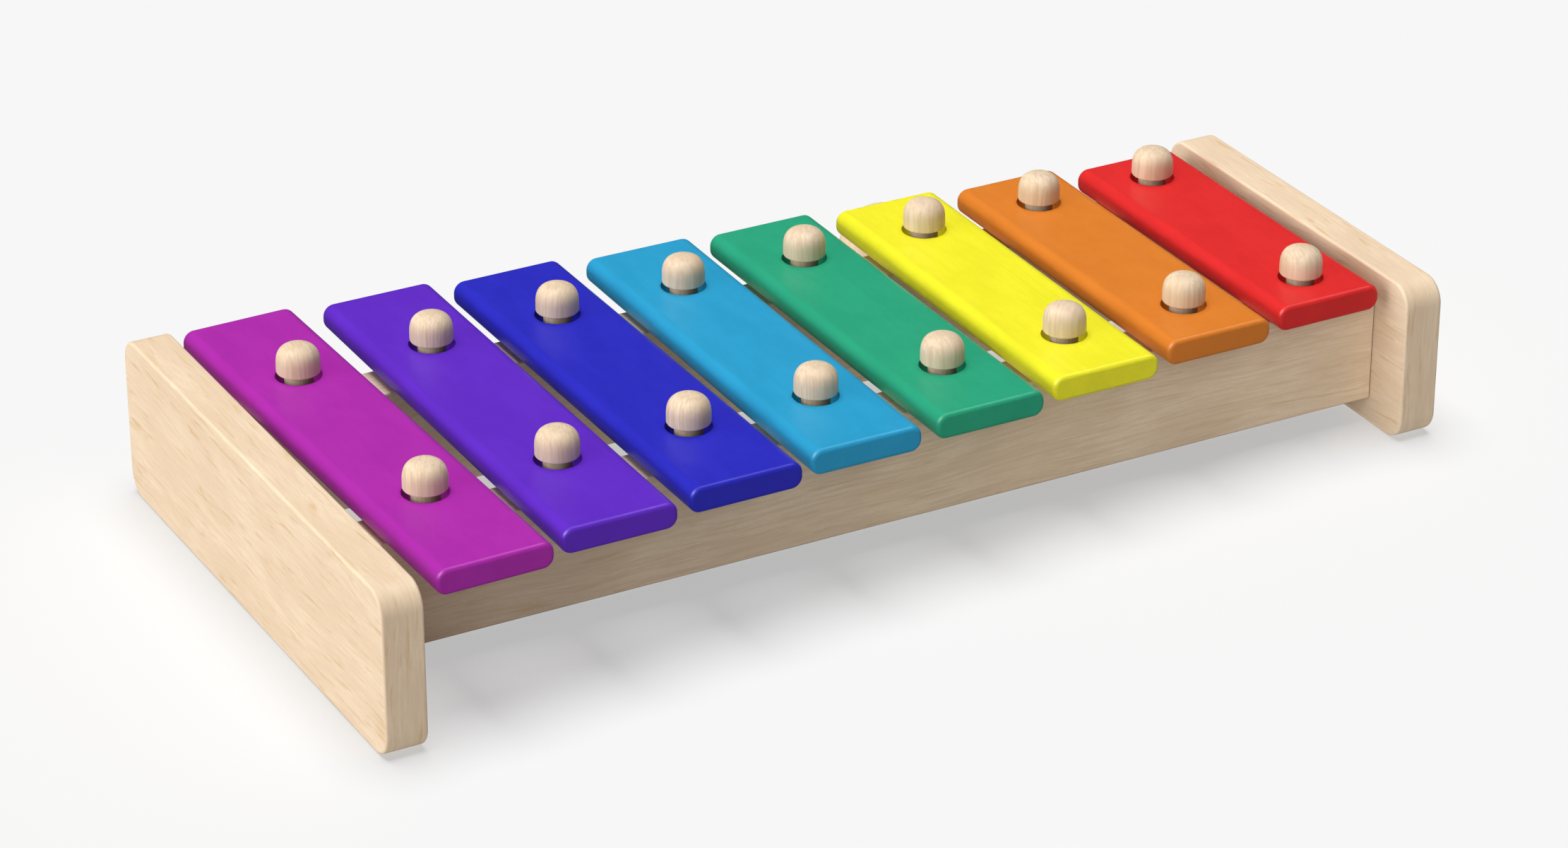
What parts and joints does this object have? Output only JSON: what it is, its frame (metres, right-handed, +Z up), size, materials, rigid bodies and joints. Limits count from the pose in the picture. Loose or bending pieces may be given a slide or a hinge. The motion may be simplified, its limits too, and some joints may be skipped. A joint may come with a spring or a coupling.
{
  "type": "toy xylophone",
  "caption": "Wooden toy xylophone: rainbow painted bars loose on domed pegs, over rails between end boards, with a ball mallet.",
  "frame": {"origin": "on the surface it stands on, under the middle of the box around the toy and the mallet lying behind it", "axes": "+X along the row of bars from the longest to the shortest, +Y away from the player, +Z up"},
  "size_m": [0.34, 0.1991, 0.0576],
  "materials": {
    "birch": "plain pale wood, fine sanded and lightly oiled",
    "magenta_paint": "satin paint on wood",
    "violet_paint": "satin paint on wood",
    "blue_paint": "satin paint on wood",
    "cyan_paint": "satin paint on wood",
    "green_paint": "satin paint on wood",
    "yellow_paint": "satin paint on wood",
    "orange_paint": "satin paint on wood",
    "red_paint": "satin paint on wood"
  },
  "bodies": {
    "frame": {"end_board_left": "birch", "end_board_right": "birch", "rail_front": "birch", "rail_rear": "birch", "dowel_left_front_lower": "birch", "dowel_left_front_upper": "birch", "dowel_left_rear_lower": "birch", "dowel_left_rear_upper": "birch", "dowel_right_front_lower": "birch", "dowel_right_front_upper": "birch", "dowel_right_rear_lower": "birch", "dowel_right_rear_upper": "birch", "peg_1_front": "birch", "peg_1_rear": "birch", "peg_2_front": "birch", "peg_2_rear": "birch", "peg_3_front": "birch", "peg_3_rear": "birch", "peg_4_front": "birch", "peg_4_rear": "birch", "peg_5_front": "birch", "peg_5_rear": "birch", "peg_6_front": "birch", "peg_6_rear": "birch", "peg_7_front": "birch", "peg_7_rear": "birch", "peg_8_front": "birch", "peg_8_rear": "birch"},
    "magenta_bar": {"bar_1_magenta": "magenta_paint"},
    "violet_bar": {"bar_2_violet": "violet_paint"},
    "blue_bar": {"bar_3_blue": "blue_paint"},
    "cyan_bar": {"bar_4_cyan": "cyan_paint"},
    "green_bar": {"bar_5_green": "green_paint"},
    "yellow_bar": {"bar_6_yellow": "yellow_paint"},
    "orange_bar": {"bar_7_orange": "orange_paint"},
    "red_bar": {"bar_8_red": "red_paint"},
    "mallet": {"mallet_head": "birch", "mallet_stick": "birch"}
  },
  "joints": [
    {"name": "magenta_bar_lift", "type": "slide", "parent": "frame", "child": "magenta_bar", "axis": [0, 0, 1], "range_m": [0, 0.02]},
    {"name": "violet_bar_lift", "type": "slide", "parent": "frame", "child": "violet_bar", "axis": [0, 0, 1], "range_m": [0, 0.02]},
    {"name": "blue_bar_lift", "type": "slide", "parent": "frame", "child": "blue_bar", "axis": [0, 0, 1], "range_m": [0, 0.02]},
    {"name": "cyan_bar_lift", "type": "slide", "parent": "frame", "child": "cyan_bar", "axis": [0, 0, 1], "range_m": [0, 0.02]},
    {"name": "green_bar_lift", "type": "slide", "parent": "frame", "child": "green_bar", "axis": [0, 0, 1], "range_m": [0, 0.02]},
    {"name": "yellow_bar_lift", "type": "slide", "parent": "frame", "child": "yellow_bar", "axis": [0, 0, 1], "range_m": [0, 0.02]},
    {"name": "orange_bar_lift", "type": "slide", "parent": "frame", "child": "orange_bar", "axis": [0, 0, 1], "range_m": [0, 0.02]},
    {"name": "red_bar_lift", "type": "slide", "parent": "frame", "child": "red_bar", "axis": [0, 0, 1], "range_m": [0, 0.02]},
    {"name": "mallet_lift", "type": "slide", "parent": "frame", "child": "mallet", "axis": [0, 0, 1], "range_m": [0, 0.06]}
  ]
}
